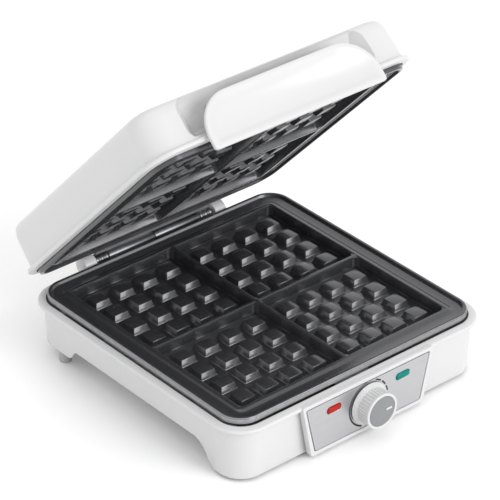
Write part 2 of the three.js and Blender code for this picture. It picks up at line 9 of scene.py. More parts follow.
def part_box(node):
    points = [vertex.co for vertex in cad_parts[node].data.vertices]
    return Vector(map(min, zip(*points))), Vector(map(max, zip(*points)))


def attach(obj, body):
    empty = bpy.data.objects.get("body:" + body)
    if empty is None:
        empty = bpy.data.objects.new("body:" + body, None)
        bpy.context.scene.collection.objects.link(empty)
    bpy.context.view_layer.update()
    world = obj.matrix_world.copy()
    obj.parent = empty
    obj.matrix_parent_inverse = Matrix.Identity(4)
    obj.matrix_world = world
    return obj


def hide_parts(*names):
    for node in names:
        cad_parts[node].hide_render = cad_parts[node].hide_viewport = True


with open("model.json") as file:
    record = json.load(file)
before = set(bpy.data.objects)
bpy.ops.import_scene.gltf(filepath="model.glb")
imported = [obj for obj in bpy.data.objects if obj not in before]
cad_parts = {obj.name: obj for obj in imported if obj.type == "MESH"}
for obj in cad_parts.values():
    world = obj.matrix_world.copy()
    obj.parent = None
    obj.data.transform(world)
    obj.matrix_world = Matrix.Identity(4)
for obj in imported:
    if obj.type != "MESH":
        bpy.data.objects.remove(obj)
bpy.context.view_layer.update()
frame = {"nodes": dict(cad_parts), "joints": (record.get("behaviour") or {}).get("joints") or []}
print("frame loaded")

# ---- places worked out from the frame
mm = 0.001
plateLow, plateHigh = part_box("lower_plate")
plateHalf = (plateHigh.x - plateLow.x) / 2
plateY = (plateHigh.y + plateLow.y) / 2
partingZ = plateHigh.z + 0.4 * mm  # the plane where the closed plates meet
rimZ = partingZ - 3 * mm  # the base's rim and control panel are measured from here
plateCorner = 21 * mm
straight = plateHalf - plateCorner  # from the middle to a corner's centre
lidHinge = next(joint for joint in frame["joints"] if joint["name"] == "lid_hinge")
hingeAxis = Vector(lidHinge["pos_m"])
lidAngle = math.radians(-lidHinge["range_deg"][0])
dialTurn = next(joint for joint in frame["joints"] if joint["name"] == "dial_turn")
dialZ = dialTurn["pos_m"][2]
frontY = plateY - plateHalf  # the plates' front edge
openLid = (Matrix.Translation(hingeAxis) @ Matrix.Rotation(-lidAngle, 4, 'X')
           @ Matrix.Translation(-hingeAxis))


# ---- modelling helpers
def clearSelection():
    if bpy.context.mode != 'OBJECT':
        bpy.ops.object.mode_set(mode='OBJECT')
    bpy.ops.object.select_all(action='DESELECT')


def choose(piece):
    clearSelection()
    piece.select_set(True)
    bpy.context.view_layer.objects.active = piece


def edit(piece):
    choose(piece)
    bpy.ops.object.mode_set(mode='EDIT')
    bpy.ops.mesh.select_mode(type='VERT')


def settle(piece, name):
    # the place goes into the mesh, so the object stays at the origin
    choose(piece)
    bpy.ops.object.transform_apply(location=True, rotation=True, scale=True)
    piece.name = name
    return piece


def pick(piece, test, kind='FACE'):
    bpy.ops.mesh.select_mode(type=kind)
    bpy.ops.mesh.select_all(action='DESELECT')
    mesh = bmesh.from_edit_mesh(piece.data)
    for part in {'FACE': mesh.faces, 'EDGE': mesh.edges, 'VERT': mesh.verts}[kind]:
        if test(part):
            part.select_set(True)
    mesh.select_flush_mode()
    bmesh.update_edit_mesh(piece.data)


def middleOf(edge):
    return (edge.verts[0].co + edge.verts[1].co) / 2


def extrude(offset):
    bpy.ops.mesh.extrude_region_move(TRANSFORM_OT_translate={"value": tuple(offset)})


def tidyMesh():
    bpy.ops.mesh.select_all(action='SELECT')
    bpy.ops.mesh.remove_doubles(threshold=0.00001)
    bpy.ops.mesh.normals_make_consistent(inside=False)


def drawOutline(name, corners, place, closed=True, segments=3):
    # a chain of edges drawn point by point; a corner's third number rounds it
    points = [place(corner[0] * mm, corner[1] * mm) for corner in corners]
    clearSelection()
    bpy.ops.mesh.primitive_plane_add(size=mm, location=points[0])
    piece = settle(bpy.context.object, name)
    edit(piece)
    bpy.ops.mesh.merge(type='CENTER')
    for here, there in zip(points, points[1:] + (points[:1] if closed else [])):
        bpy.ops.mesh.extrude_vertices_move(TRANSFORM_OT_translate={"value": tuple(there - here)})
    bpy.ops.mesh.select_all(action='SELECT')
    bpy.ops.mesh.remove_doubles(threshold=0.00001)
    for corner, point in zip(corners, points):
        if len(corner) > 2:
            pick(piece, lambda vert: (vert.co - point).length < 0.00002, 'VERT')
            bpy.ops.mesh.bevel(affect='VERTICES', offset=corner[2] * mm, segments=segments)
    bpy.ops.mesh.select_all(action='SELECT')
    return piece


def prism(name, corners, place, reach, segments=3):
    piece = drawOutline(name, corners, place, True, segments)
    bpy.ops.mesh.edge_face_add()
    extrude(reach)
    tidyMesh()
    return piece


def sideways(x):
    # an outline in depth and height from the plates' middle, drawn in the plane x
    return lambda y, z: Vector((x, plateY + y, z))


def fromFront(y):
    return lambda x, z: Vector((x, y, z))


def sweepRound(name, profile, closed, level, cornerSteps=10, segments=3):
    # profile: distance outside the plates' edge, height from the level, rounding
    def place(offset, height):
        return Vector((plateHalf + offset, plateY - straight, level + height))
    piece = drawOutline(name, profile, place, closed, segments)
    for side, (stepX, stepY) in enumerate([(0, 1), (-1, 0), (0, -1), (1, 0)]):
        cornerX, cornerY = [(1, 1), (-1, 1), (-1, -1), (1, -1)][side]
        extrude((stepX * 2 * straight, stepY * 2 * straight, 0))
        bpy.ops.mesh.spin(steps=cornerSteps, angle=-math.pi / 2, axis=(0, 0, 1),
                          center=(cornerX * straight, plateY + cornerY * straight, 0))
    tidyMesh()
    return piece


def capEnds(piece):
    # fills each open loop with one face
    for height in sorted({round(v.co.z, 5) for v in bmesh.from_edit_mesh(piece.data).verts
                          if v.is_boundary}):
        pick(piece, lambda edge: edge.is_boundary and abs(middleOf(edge).z - height) < 0.00002, 'EDGE')
        bpy.ops.mesh.edge_face_add()
    tidyMesh()


def finishModifier(piece, kind, **settings):
    choose(piece)
    modifier = piece.modifiers.new(kind.lower(), kind)
    for setting, value in settings.items():
        setattr(modifier, setting, value)
    bpy.ops.object.modifier_apply(modifier=modifier.name)


def carve(piece, *cutters):
    for cutter in cutters:
        finishModifier(piece, 'BOOLEAN', operation='DIFFERENCE', solver='EXACT', object=cutter)
        bpy.data.objects.remove(cutter)


def weld(piece, *others):
    for other in others:
        finishModifier(piece, 'BOOLEAN', operation='UNION', solver='EXACT', object=other)
        bpy.data.objects.remove(other)


def softenEdges(piece, width, segments=2, angle=35, test=None):
    # bevels the sharp edges, or those that the test allows
    edit(piece)
    limit = math.radians(angle)
    pick(piece, lambda edge: len(edge.link_faces) == 2 and edge.calc_face_angle(0) > limit
         and (test is None or test(middleOf(edge))), 'EDGE')
    bpy.ops.mesh.bevel(offset=width * mm, segments=segments, profile=0.5, clamp_overlap=True)
    bpy.ops.mesh.select_mode(type='VERT')
    tidyMesh()


def cylinder(name, radius, low, high, axis, centre, sides=48):
    # a round bar along X, Y or Z between two heights on that axis
    clearSelection()
    turn = {'X': (0, math.pi / 2, 0), 'Y': (math.pi / 2, 0, 0), 'Z': (0, 0, 0)}[axis]
    place = Vector(centre)
    place['XYZ'.index(axis)] = (low + high) / 2
    bpy.ops.mesh.primitive_cylinder_add(vertices=sides, radius=radius, depth=high - low,
                                        location=place, rotation=turn)
    return settle(bpy.context.object, name)


def box(name, low, high):
    clearSelection()
    low, high = Vector(low), Vector(high)
    bpy.ops.mesh.primitive_cube_add(size=1, location=(low + high) / 2, scale=high - low)
    return settle(bpy.context.object, name)


def joined(piece, *others):
    choose(piece)
    for other in others:
        other.select_set(True)
    bpy.ops.object.join()
    return piece


def copied(piece, name):
    clearSelection()
    twin = piece.copy()
    twin.data = piece.data.copy()
    twin.name = name
    bpy.context.scene.collection.objects.link(twin)
    return twin


def moved(piece, matrix):
    clearSelection()
    piece.data.transform(matrix)
    piece.data.update()
    return piece


def handIn(piece, body, nodes, material, smooth=32):
    choose(piece)
    bpy.ops.object.shade_smooth_by_angle(angle=math.radians(smooth))
    piece.data.materials.clear()
    piece.data.materials.append(material)
    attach(piece, body)
    if nodes:
        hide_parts(*nodes)
    return piece


# ---- materials
def newMaterial(name, colour, roughness, metal=0.0, **sockets):
    material = bpy.data.materials.new(name)
    material.use_nodes = True
    shader = material.node_tree.nodes["Principled BSDF"]
    shader.inputs["Base Color"].default_value = (*colour, 1)
    shader.inputs["Roughness"].default_value = roughness
    shader.inputs["Metallic"].default_value = metal
    for socket, value in sockets.items():
        shader.inputs[socket.replace("_", " ")].default_value = value
    return material


def patterned(material, size, stretch=(1, 1, 1), detail=4):
    # a noise on object coordinates, with the number of patches per metre and their stretch
    tree = material.node_tree
    coordinates = tree.nodes.new("ShaderNodeTexCoord")
    mapping = tree.nodes.new("ShaderNodeMapping")
    mapping.inputs["Scale"].default_value = stretch
    noise = tree.nodes.new("ShaderNodeTexNoise")
    noise.inputs["Scale"].default_value = size
    noise.inputs["Detail"].default_value = detail
    tree.links.new(coordinates.outputs["Object"], mapping.inputs["Vector"])
    tree.links.new(mapping.outputs["Vector"], noise.inputs["Vector"])
    return noise.outputs["Fac"]


def varyColour(material, pattern, dark, light, low=0.3, high=0.7):
    tree = material.node_tree
    ramp = tree.nodes.new("ShaderNodeValToRGB")
    ramp.color_ramp.elements[0].position = low
    ramp.color_ramp.elements[0].color = (*dark, 1)
    ramp.color_ramp.elements[1].position = high
    ramp.color_ramp.elements[1].color = (*light, 1)
    tree.links.new(pattern, ramp.inputs["Fac"])
    tree.links.new(ramp.outputs["Color"], tree.nodes["Principled BSDF"].inputs["Base Color"])


def varyRoughness(material, pattern, low, high):
    tree = material.node_tree
    span = tree.nodes.new("ShaderNodeMapRange")
    span.inputs["To Min"].default_value = low
    span.inputs["To Max"].default_value = high
    tree.links.new(pattern, span.inputs["Value"])
    tree.links.new(span.outputs["Result"], tree.nodes["Principled BSDF"].inputs["Roughness"])


def addBump(material, pattern, depth, strength):
    tree = material.node_tree
    bump = tree.nodes.new("ShaderNodeBump")
    bump.inputs["Distance"].default_value = depth
    bump.inputs["Strength"].default_value = strength
    tree.links.new(pattern, bump.inputs["Height"])
    tree.links.new(bump.outputs["Normal"], tree.nodes["Principled BSDF"].inputs["Normal"])


def mouldedWhite(name, colour=(0.625, 0.625, 0.63)):
    material = newMaterial(name, colour, 0.3, Coat_Weight=0.1, Coat_Roughness=0.12)
    cloud = patterned(material, 9)
    varyColour(material, cloud, [c * 0.985 for c in colour], colour)
    varyRoughness(material, patterned(material, 60), 0.28, 0.4)
    addBump(material, patterned(material, 1400, detail=2), 0.00002, 0.15)
    return material


def coatedDark():
    material = newMaterial("nonStickCoating", (0.05, 0.051, 0.055), 0.26, metal=0.35,
                           Specular_IOR_Level=0.8, Coat_Weight=0.55, Coat_Roughness=0.14)
    speck = patterned(material, 2600, detail=2)
    varyColour(material, speck, (0.032, 0.0325, 0.036), (0.066, 0.067, 0.072))
    varyRoughness(material, patterned(material, 120), 0.2, 0.3)
    addBump(material, patterned(material, 3200, detail=2), 0.00002, 0.2)
    return material


def brushedSheet(name, dark, light, along=(3, 900, 900), roughness=(0.28, 0.42)):
    material = newMaterial(name, light, 0.34, metal=1.0)
    grain = patterned(material, 1.0, along, detail=6)
    varyColour(material, grain, dark, light)
    varyRoughness(material, grain, *roughness)
    addBump(material, grain, 0.00002, 0.2)
    return material


def plainMetal(name, colour, roughness, wear=0.8):
    material = newMaterial(name, colour, roughness, metal=1.0)
    mottle = patterned(material, 220)
    varyColour(material, mottle, [c * wear for c in colour], colour)
    varyRoughness(material, mottle, roughness * 0.85, roughness * 1.2)
    return material


def plainMatte(name, colour, roughness, grain=900):
    material = newMaterial(name, colour, roughness)
    mottle = patterned(material, grain, detail=3)
    varyColour(material, mottle, [c * 0.9 for c in colour], colour)
    addBump(material, mottle, 0.00004, 0.2)
    return material


def lampPlastic(name, deep, bright):
    material = newMaterial(name, bright, 0.22, Coat_Weight=0.2, Coat_Roughness=0.04,
                           Specular_IOR_Level=0.08)
    varyColour(material, patterned(material, 150, (1, 1, 3)), deep, bright)
    return material


whitePlastic = mouldedWhite("whitePlastic")
nonStick = coatedDark()
fasciaSteel = brushedSheet("fasciaSteel", (0.52, 0.52, 0.53), (0.58, 0.58, 0.59), (12, 2600, 2600),
                           (0.3, 0.38))
hingeSteel = plainMetal("darkHingeSteel", (0.2, 0.2, 0.215), 0.34)
zincSteel = plainMetal("zincSteel", (0.55, 0.56, 0.58), 0.3)
# a lighter grey metal for the plates' outer side faces: painted sheen
groundEdge = plainMetal("groundEdge", (0.42, 0.42, 0.43), 0.38)
bareAluminium = brushedSheet("bareAluminium", (0.5, 0.5, 0.51), (0.62, 0.63, 0.64), (6, 500, 500))
elementSteel = plainMetal("heatBrownedSteel", (0.2, 0.16, 0.13), 0.45, wear=0.55)
redLens = lampPlastic("redLens", (0.3, 0.006, 0.005), (0.44, 0.018, 0.014))
greenLens = lampPlastic("greenLens", (0.0, 0.15, 0.13), (0.001, 0.25, 0.215))
footRubber = plainMatte("footRubber", (0.42, 0.42, 0.41), 0.75)
blackRubber = plainMatte("blackRubber", (0.02, 0.02, 0.021), 0.6)
greyCap = plainMatte("greyCap", (0.23, 0.235, 0.24), 0.4, grain=2000)
glazedCeramic = plainMatte("glazedCeramic", (0.74, 0.71, 0.64), 0.35, grain=300)
scaleInk = plainMatte("scaleInk", (0.012, 0.012, 0.013), 0.5)
lampGlass = newMaterial("lampGlass", (0.95, 0.94, 0.9), 0.05, Transmission_Weight=0.9, IOR=1.47)
varyRoughness(lampGlass, patterned(lampGlass, 300), 0.03, 0.08)
print("materials made")

# ---- base housing: lip, walls, legs, arches, hinge ears
baseShell = {
    "wall": [(-0.6, -57), (1.6, -57, 0.9), (3.4, -11.5), (3.6, -9.4, 0.6), (7.9, -8.6, 0.7),
             (8.7, -7.0, 0.8), (8.2, -5.0, 1.1), (1.2, -4.1, 0.7), (1.1, -12)],
    "sideArch": [(-110, -2), (-103.5, 4, 2), (-92, 21, 6), (-83, 25, 3), (80, 25, 3), (87, 14.5, 3),
                 (170, 14.5), (170, -2)],
    "rearArch": [(-106, -2), (-106, 14, 3), (-98, 25, 4), (98, 25, 4), (106, 14, 3), (106, -2)],
    "earRadius": 8, "earSpan": (67.5, 79.5),
    "neck": [(-7.8, 0, 1), (-8, -11, 1), (-9, -32, 1), (-7, -32), (7.8, 0)],
    "notchHalf": 67.2, "notchDepth": 12.6, "notchIn": 8, "notchOut": 12, "archTop": 26.2,
}


def makeBaseShell(sizes):
    piece = sweepRound("baseShell", sizes["wall"], True, rimZ, cornerSteps=14)
    wide, rearStart, rearReach = 170 * mm, plateY + 110 * mm, 60 * mm
    sideCutter = prism("sideCutter", sizes["sideArch"], sideways(-wide), (2 * wide, 0, 0))
    rearCutter = prism("rearCutter", sizes["rearArch"], fromFront(rearStart), (0, rearReach, 0))
    notchHalf = sizes["notchHalf"] * mm
    plateRear = plateY + plateHalf
    notch = box("notch", (-notchHalf, plateRear - sizes["notchIn"] * mm, rimZ - sizes["notchDepth"] * mm),
                (notchHalf, plateRear + sizes["notchOut"] * mm, rimZ + mm))
    carve(piece, sideCutter, rearCutter, notch)
    softenEdges(piece, 0.5, 2, 50, lambda at: at.z < sizes["archTop"] * mm)
    ears = []
    radius = sizes["earRadius"] * mm
    for side in (-1, 1):
        low, high = sorted(side * span * mm for span in sizes["earSpan"])
        ear = cylinder("ear", radius, low, high, 'X', hingeAxis, 40)
        neck = prism("neck", sizes["neck"], lambda y, z, x=low: Vector(
            (x, hingeAxis.y + y, hingeAxis.z + z)), (high - low, 0, 0))
        weld(ear, neck)
        ears.append(ear)
    for ear in ears:
        softenEdges(ear, 0.7, 2, 40)
    return joined(piece, *ears)


handIn(makeBaseShell(baseShell), "base", ["base_housing"], whitePlastic)
print("base housing made")

# ---- cooking plates: border, four wells and their pegs
platePiece = {
    "border": [(-17.5, -15.5, 1), (-17, -6.4, 1), (-0.5, -6.4, 0.3), (0, -5.9), (0, -1.9, 0.2),
               (-0.45, -1.6, 0.15), (-0.45, -0.9, 0.2), (-0.9, -0.4, 0.3), (-3.2, -0.4, 0.5),
               (-4.8, -3.1, 0.8), (-12.8, -3.6, 1.5), (-16, -1.9, 1.2), (-21, -1.9)],
    "well": 112, "divider": 4, "pitch": 26, "pegFoot": 18, "pegTop": 14.5,
    "pegTopDepth": 6.5, "wellDepth": 13, "rows": 4,
    "wall": [(-2, 0), (-0.4, 0.4), (0, 1.2), (0.2, 10.2), (0.45, 10.8), (1.1, 11.1), (1.9, 12)],
}


def makeWellCutter(sizes):
    # the batter's shape: one pocket cell, repeated, then walled round its edge
    pitch = sizes["pitch"] * mm
    foot = sizes["pegFoot"] * mm
    span = sizes["rows"] * pitch
    floor = partingZ - sizes["wellDepth"] * mm
    clearSelection()
    bpy.ops.mesh.primitive_plane_add(size=pitch, location=(0, 0, floor))
    cell = settle(bpy.context.object, "wellCutter")
    edit(cell)
    bpy.ops.mesh.select_all(action='SELECT')
    bpy.ops.mesh.inset(thickness=(pitch - foot) / 2)
    extrude((0, 0, (sizes["wellDepth"] - sizes["pegTopDepth"]) * mm))
    narrow = sizes["pegTop"] / sizes["pegFoot"]
    bpy.ops.transform.resize(value=(narrow, narrow, 1))
    pick(cell, lambda edge: max(abs(v.co.x) for v in edge.verts) < pitch / 2 - 0.0001
         and edge.calc_face_angle(0) > 0.3, 'EDGE')
    bpy.ops.mesh.bevel(offset=1.1 * mm, segments=2)
    for axis in (0, 1):
        offset = [0, 0, 0]
        offset[axis] = pitch
        finishModifier(cell, 'ARRAY', count=sizes["rows"], use_relative_offset=False,
                       use_constant_offset=True, constant_offset_displace=offset,
                       use_merge_vertices=True, merge_threshold=0.00002)
    middle = (sizes["rows"] - 1) * pitch / 2
    moved(cell, Matrix.Translation((-middle, -middle, 0)))
    edit(cell)
    reach = span / 2
    height = 0
    pick(cell, lambda edge: edge.is_boundary, 'EDGE')
    for outside, lift in sizes["wall"]:  # the wall leans outward as it rises
        half, lift = (sizes["well"] / 2 + outside) * mm, lift * mm
        extrude((0, 0, lift - height))
        bpy.ops.transform.resize(value=(half / reach, half / reach, 1))
        reach, height = half, lift
    bpy.ops.mesh.edge_face_add()
    tidyMesh()
    pick(cell, lambda edge: abs(abs(edge.verts[0].co.x) - abs(edge.verts[0].co.y)) < 0.0001
         and abs(abs(edge.verts[1].co.x) - abs(edge.verts[1].co.y)) < 0.0001
         and abs(edge.verts[0].co.z - edge.verts[1].co.z) > 0.002
         and abs(edge.verts[0].co.x) > span / 2, 'EDGE')
    bpy.ops.mesh.bevel(offset=5 * mm, segments=4)
    tidyMesh()
    return cell


def makePlate(sizes):
    plate = sweepRound("lowerPlate", sizes["border"], False, partingZ, cornerSteps=12)
    capEnds(plate)
    cutter = makeWellCutter(sizes)
    shift = (sizes["well"] + sizes["divider"]) / 2 * mm
    for sideX, sideY in [(-1, -1), (1, -1), (-1, 1), (1, 1)]:
        place = Matrix.Translation((sideX * shift, plateY + sideY * shift, 0))
        one = moved(copied(cutter, "oneWell"), place)
        carve(plate, one)
    bpy.data.objects.remove(cutter)
    return plate


lowerPlate = makePlate(platePiece)
flip = Matrix.Translation((0, plateY, partingZ)) @ Matrix.Rotation(math.pi, 4, 'X')
turnOver = flip @ Matrix.Translation((0, -plateY, -partingZ))
upperPlate = moved(copied(lowerPlate, "upperPlate"), openLid @ turnOver)
handIn(lowerPlate, "base", ["lower_plate"], nonStick, 25)
handIn(upperPlate, "lid", ["upper_plate"], nonStick, 25)


def paintSheenOnSide(piece):
    # the casting's outer side faces get a lighter grey metal as painted sheen, standing in for the light
    # that band catches
    piece.data.materials.append(groundEdge)
    for face in piece.data.polygons:
        across, along = abs(face.center.x), abs(face.center.y - plateY)
        corner = Vector((across - straight, along - straight))
        outside = corner.length if min(corner) > 0 else max(corner)
        if outside > plateCorner - 0.8 * mm and abs(face.normal.z) < 0.5:
            face.material_index = 1


paintSheenOnSide(lowerPlate)
print("plates made")

# ---- lid housing with its front scoop
lidShell = {
    "skin": [(-14, 46.8), (-6, 46, 3), (-1, 43, 3), (0.9, 12), (1.2, 4.1, 0.7), (8.2, 5.0, 1.1),
             (8.7, 7.0, 0.8), (7.9, 8.6, 0.7), (4.1, 9.6, 0.6), (3.9, 14), (3.3, 32, 6), (2.4, 41, 4),
             (-0.6, 46.6, 3), (-7, 49.4, 4), (-18, 50.2)],
    "scoop": [(-20, 49.3, 1), (0.2, 49.3, 3), (4, 43.5, 6), (7.8, 34, 5), (8, 14.5, 4), (0, 9.9, 2),
              (-20, 9.9)],
    "backing": [(-1.5, 12.3), (-1.5, 42), (2.5, 46.4), (11, 46.4), (11, 12.3)],
    "scoopFront": [(-101, 9.9, 10), (101, 9.9, 10), (101, 49.3, 12), (-101, 49.3, 12)],
    "scoopHalf": 103, "scoopNarrowing": 0.87, "crown": [(0.85, 0.2), (0.7, 0.1)],
    "rearHalf": 81.5, "rearIn": 3, "rearOut": 12, "rearHeight": 12.2,
    "softWithin": 102, "softDepth": 12, "softAbove": 9.5,  # where the scoop's edges are softened
}


def makeLidShell(sizes):
    piece = sweepRound("lidShell", sizes["skin"], False, partingZ, cornerSteps=14, segments=4)
    capEnds(piece)
    edit(piece)
    pick(piece, lambda face: face.calc_area() > 0.01 and face.normal.z > 0.9)
    for shrink, lift in sizes["crown"]:
        extrude((0, 0, lift * mm))
        bpy.ops.transform.resize(value=(shrink, shrink, 1), center_override=(0, plateY, 0))
    half = sizes["scoopHalf"] * mm
    across = lambda y, z: Vector((-half, frontY + y, partingZ + z))
    backing = prism("backing", sizes["backing"], across, (2 * half, 0, 0))
    clearSelection()
    weld(piece, backing)
    scoop = prism("scoop", sizes["scoop"], across, (2 * half, 0, 0), 5)
    window = prism("window", sizes["scoopFront"],
                   lambda x, z: Vector((x, frontY - 4 * mm, partingZ + z)), (0, 13 * mm, 0), 6)
    # narrower at its back, so the scoop's ends slope
    pick(window, lambda vert: vert.co.y > frontY, 'VERT')
    bpy.ops.transform.resize(value=(sizes["scoopNarrowing"], 1, 1), center_override=(0, 0, 0))
    clearSelection()
    finishModifier(scoop, 'BOOLEAN', operation='INTERSECT', solver='EXACT', object=window)
    bpy.data.objects.remove(window)
    rearHalf, plateRear = sizes["rearHalf"] * mm, plateY + plateHalf
    rear = box("rear", (-rearHalf, plateRear - sizes["rearIn"] * mm, partingZ - mm),
               (rearHalf, plateRear + sizes["rearOut"] * mm, partingZ + sizes["rearHeight"] * mm))
    carve(piece, scoop, rear)
    softenEdges(piece, 0.8, 2, 40, lambda at: at.y < frontY + sizes["softDepth"] * mm
                and abs(at.x) < sizes["softWithin"] * mm and at.z > partingZ + sizes["softAbove"] * mm)
    return moved(piece, openLid)


handIn(makeLidShell(lidShell), "lid", ["lid_housing"], whitePlastic, 40)
print("lid housing made")

# ---- handle: a wide dished panel on two posts
handlePanel = {
    "outline": [(-92, -7, 3), (92, -7, 3), (92, 37.5, 34), (-92, 37.5, 34)],
    "back": 11.4, "front": 15.4, "lip": 5, "dish": 1.8, "dishSlope": 3, "postX": 58, "postHalf": 9,
    "postLow": 19, "postHigh": 35, "postReach": 7.7,
}


def makeHandle(sizes):
    back = frontY - sizes["back"] * mm
    thickness = (sizes["front"] - sizes["back"]) * mm
    panel = prism("handlePanel", sizes["outline"],
                  lambda x, z: Vector((x, back, partingZ + z)), (0, -thickness, 0), 14)
    pick(panel, lambda face: face.normal.y < -0.9)
    low, high, halfWide = sizes["outline"][0][1], sizes["outline"][2][1], sizes["outline"][1][0]
    middleZ, halfHigh = partingZ + (low + high) / 2 * mm, (high - low) / 2
    for border, depth in [(sizes["lip"], 0), (sizes["dishSlope"], sizes["dish"])]:
        extrude((0, depth * mm, 0))
        bpy.ops.transform.resize(value=(1 - border / halfWide, 1, 1 - border / halfHigh),
                                 center_override=(0, 0, middleZ))
    softenEdges(panel, 1.4, 4, 60)
    posts = []
    for side in (-1, 1):
        x = side * sizes["postX"] * mm
        half = sizes["postHalf"] * mm
        post = box("post", (x - half, back - 0.5 * mm, partingZ + sizes["postLow"] * mm),
                   (x + half, frontY + sizes["postReach"] * mm, partingZ + sizes["postHigh"] * mm))
        softenEdges(post, 1.2, 3, 60)
        posts.append(post)
    weld(panel, *posts)
    return moved(panel, openLid)


handIn(makeHandle(handlePanel), "lid", ["lid_handle"], whitePlastic, 40)
print("handle made")

# ---- control surround, fascia, lamps
controlPanel = {
    "face": 10.5, "top": -4.6, "bottom": -57, "halfTop": 73, "halfBottom": 63, "border": 4,
    "rounding": 2, "recess": 3.2, "gap": 0.45, "lampX": 38.5, "lampZ": -19,
    "scaleRadius": 21.4, "scaleMarks": [(95, 250, 0.5, 1.9), (52, 69, 1.5, 1.5), (30, 46, 1.5, 1.5),
                                        (9, 24, 1.5, 1.5)],
    "lampLength": 15.5, "lampWidth": 6.6, "lampProud": 1.1, "lampDepth": 5.2, "lampRounding": 2.2,
    "seat": 4.3, "sheetBehind": 0.35, "sheet": 0.8, "ink": 0.16,
}


def podCorners(sizes, shrink):
    top, bottom = sizes["top"] - shrink, sizes["bottom"] + shrink
    rounding = sizes["rounding"]
    wideTop, wideBottom = sizes["halfTop"] - shrink, sizes["halfBottom"] - shrink
    return [(-wideTop, top, rounding), (-wideBottom, bottom, rounding),
            (wideBottom, bottom, rounding), (wideTop, top, rounding)]


def pillPiece(name, sizes, side, grow, low, high):
    # a flat bar with round ends, standing forward from the fascia
    x, z = side * sizes["lampX"] * mm, rimZ + sizes["lampZ"] * mm
    radius = (sizes["lampWidth"] / 2 + grow) * mm
    reach = (sizes["lampLength"] - sizes["lampWidth"]) / 2 * mm
    piece = cylinder(name, radius, low, high, 'Y', (x, 0, z), 32)
    edit(piece)
    pick(piece, lambda vert: vert.co.x > x + 0.00001, 'VERT')
    bpy.ops.transform.translate(value=(reach, 0, 0))
    pick(piece, lambda vert: vert.co.x < x - 0.00001, 'VERT')
    bpy.ops.transform.translate(value=(-reach, 0, 0))
    return piece


def makeSurround(sizes):
    face = frontY - sizes["face"] * mm
    place = lambda x, z: Vector((x, frontY - sizes["seat"] * mm, rimZ + z))
    depth = sizes["face"] * mm - sizes["seat"] * mm
    piece = prism("controlSurround", podCorners(sizes, 0), place, (0, -depth, 0), 4)
    recess = prism("recess", podCorners(sizes, sizes["border"] - sizes["gap"]),
                   lambda x, z: Vector((x, face - 2 * mm, rimZ + z)),
                   (0, (2 + sizes["recess"]) * mm, 0), 4)
    carve(piece, recess)
    softenEdges(piece, 0.6, 3, 50)
    return piece


def makeFascia(sizes):
    face = frontY - (sizes["face"] - sizes["sheetBehind"]) * mm
    sheet = sizes["sheet"] * mm
    piece = prism("controlFascia", podCorners(sizes, sizes["border"] + sizes["gap"]),
                  lambda x, z: Vector((x, face + sheet, rimZ + z)), (0, -sheet, 0), 4)
    for side in (-1, 1):
        carve(piece, pillPiece("lampHole", sizes, side, 0.3, face - 3 * mm, face + 3 * mm))
    shaftHole = 4.6 * mm
    carve(piece, cylinder("shaftHole", shaftHole, face - 3 * mm, face + 3 * mm, 'Y', (0, 0, dialZ), 32))
    softenEdges(piece, 0.15, 1, 50)
    return piece


def makeLens(sizes, side, name):
    face = frontY - sizes["face"] * mm
    piece = pillPiece(name, sizes, side, 0, face - sizes["lampProud"] * mm,
                      face + sizes["lampDepth"] * mm)
    softenEdges(piece, sizes["lampRounding"], 5, 60, lambda at: at.y < face)
    return piece


def makeDialScale(sizes):
    # a printed line that thickens as it runs round the dial, then three short marks
    face = frontY - (sizes["face"] - sizes["sheetBehind"]) * mm
    place = lambda x, z: Vector((x, face + 0.1 * mm, dialZ + z))
    pieces = []
    for start, end, thin, thick in sizes["scaleMarks"]:
        steps = max(3, round(abs(end - start) / 5))
        edge = []
        for side in (1, -1):
            for step in range(steps + 1):
                along = step / steps if side > 0 else 1 - step / steps
                angle = math.radians(start + (end - start) * along)
                reach = sizes["scaleRadius"] + side * (thin + (thick - thin) * along) / 2
                edge.append((reach * math.cos(angle), reach * math.sin(angle)))
        pieces.append(prism("dialScale", edge, place, (0, -sizes["ink"] * mm, 0)))
    return joined(*pieces)


handIn(makeSurround(controlPanel), "base", ["control_surround"], whitePlastic)
handIn(makeFascia(controlPanel), "base", ["control_fascia"], fasciaSteel)
handIn(makeLens(controlPanel, -1, "powerLens"), "base", ["power_lamp_lens"], redLens)
handIn(makeLens(controlPanel, 1, "readyLens"), "base", ["ready_lamp_lens"], greenLens)
handIn(makeDialScale(controlPanel), "base", [], scaleInk)
print("control panel made")

# ---- dial: stepped foot, ribbed side, smooth collar, cap and pointer
dial = {"radius": 16.4, "front": 27.5, "collar": 1.8, "ribs": 36, "ribDepth": 0.6, "ring": 14.1,
        "foot": 19.5, "footStep": 0.75, "footRise": 0.9, "footSteps": 3}


